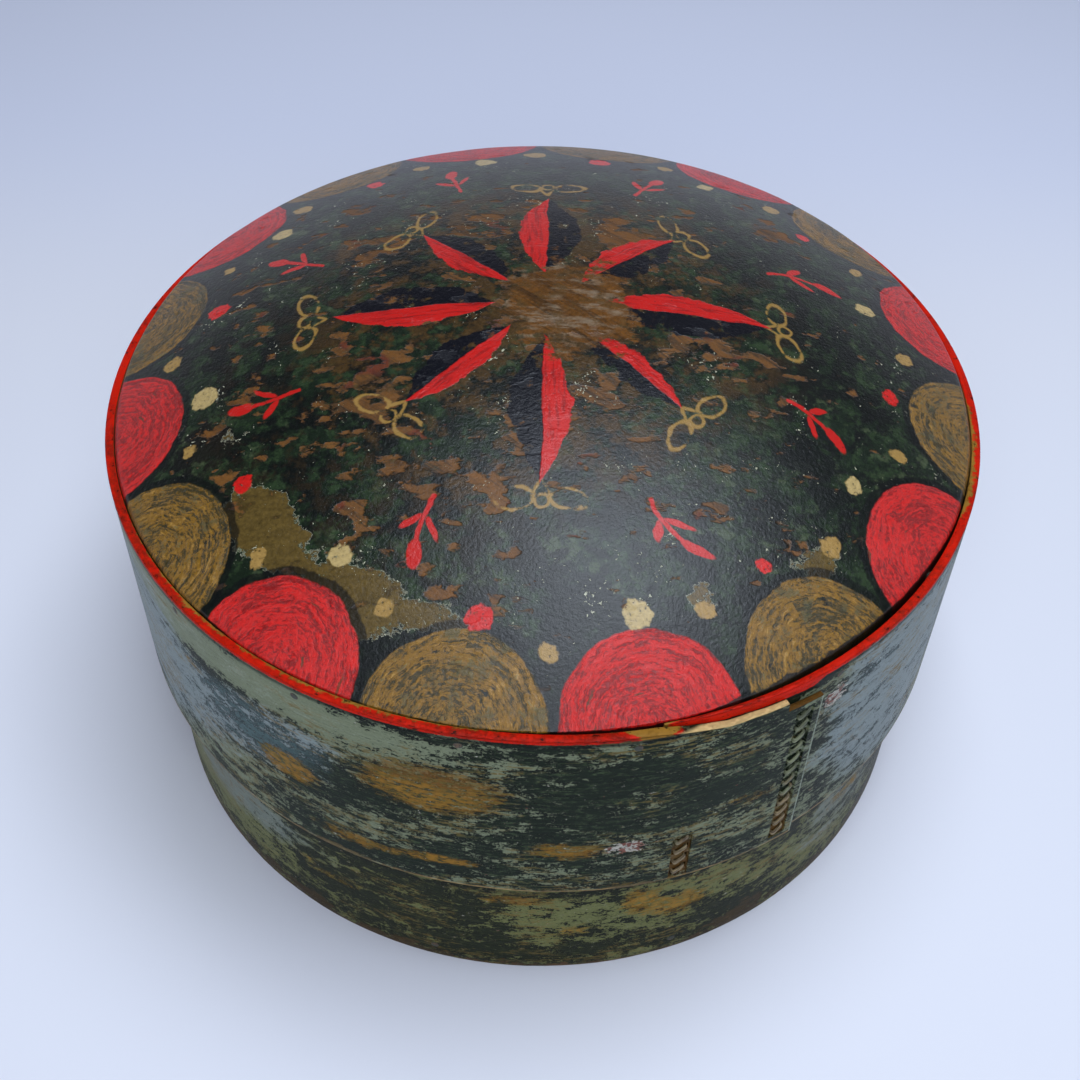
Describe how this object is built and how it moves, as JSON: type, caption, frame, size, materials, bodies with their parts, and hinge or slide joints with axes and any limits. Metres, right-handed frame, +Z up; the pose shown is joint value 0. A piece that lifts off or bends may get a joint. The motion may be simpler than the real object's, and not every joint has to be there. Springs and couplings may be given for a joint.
{
  "type": "round bentwood box with a lift-off domed lid",
  "caption": "Round lidded storage box of bent, lapped and root-sewn wood, with a deep domed lid that lifts off; antique painted folk work.",
  "frame": {"origin": "centre of the circle the box stands on, at the lower edge of the box band", "axes": "+Z up along the axis of the box and the way the lid lifts; -Y is the pictured front; +X to its right"},
  "size_m": [0.3006, 0.3009, 0.181],
  "materials": {
    "bare_wood": "bare aged pine",
    "painted_band": "worn grey-green and slate-blue paint over bent wood",
    "painted_dome": "worn bottle-green paint with red, black and ochre folk ornament",
    "root": "split root, dry",
    "peg_wood": "end-grain pegs"
  },
  "bodies": {
    "box": {"box_bottom": "bare_wood", "box_band": "painted_band", "box_seam_lacing": "root", "box_tack_lacing": "root", "bottom_pegs": "peg_wood"},
    "lid": {"lid_dome": "painted_dome", "lid_band": "painted_band", "lid_seam_lacing": "root", "lid_tack_lacing": "root", "lid_pegs": "peg_wood"}
  },
  "joints": [
    {"name": "lid_lift", "type": "slide", "parent": "box", "child": "lid", "axis": [0, 0, 1], "range_m": [0, 0.16]}
  ]
}
